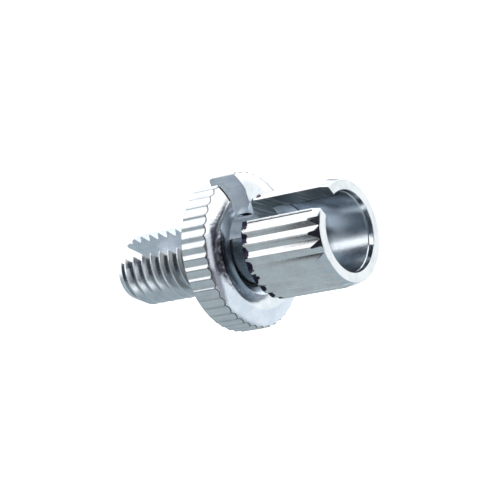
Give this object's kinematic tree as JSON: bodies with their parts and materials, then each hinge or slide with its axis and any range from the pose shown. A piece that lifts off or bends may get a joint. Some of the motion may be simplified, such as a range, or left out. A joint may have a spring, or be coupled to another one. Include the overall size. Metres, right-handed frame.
{
  "type": "cable adjuster screw",
  "caption": "Slotted brake cable adjuster screw: threaded stem, fluted barrel with a housing cup, and a knurled slotted lock ring with a domed face.",
  "frame": {"origin": "on the axis at the end of the thread, on which the part stands", "axes": "+Z along the axis to the cup's mouth; the screw's slot faces -Y"},
  "size_m": [0.0172, 0.0172, 0.0294],
  "materials": {
    "screw_steel": "bright zinc plate",
    "ring_steel": "bright zinc plate"
  },
  "bodies": {
    "adjuster_screw": {"adjuster_screw": "screw_steel"},
    "lock_ring": {"lock_ring": "ring_steel"}
  },
  "joints": [
    {"name": "ring_turn", "type": "hinge", "parent": "adjuster_screw", "child": "lock_ring", "pos_m": [0, 0, 0.0148], "axis": [0, 0, 1], "range_deg": [-2880, 24.7]}
  ]
}
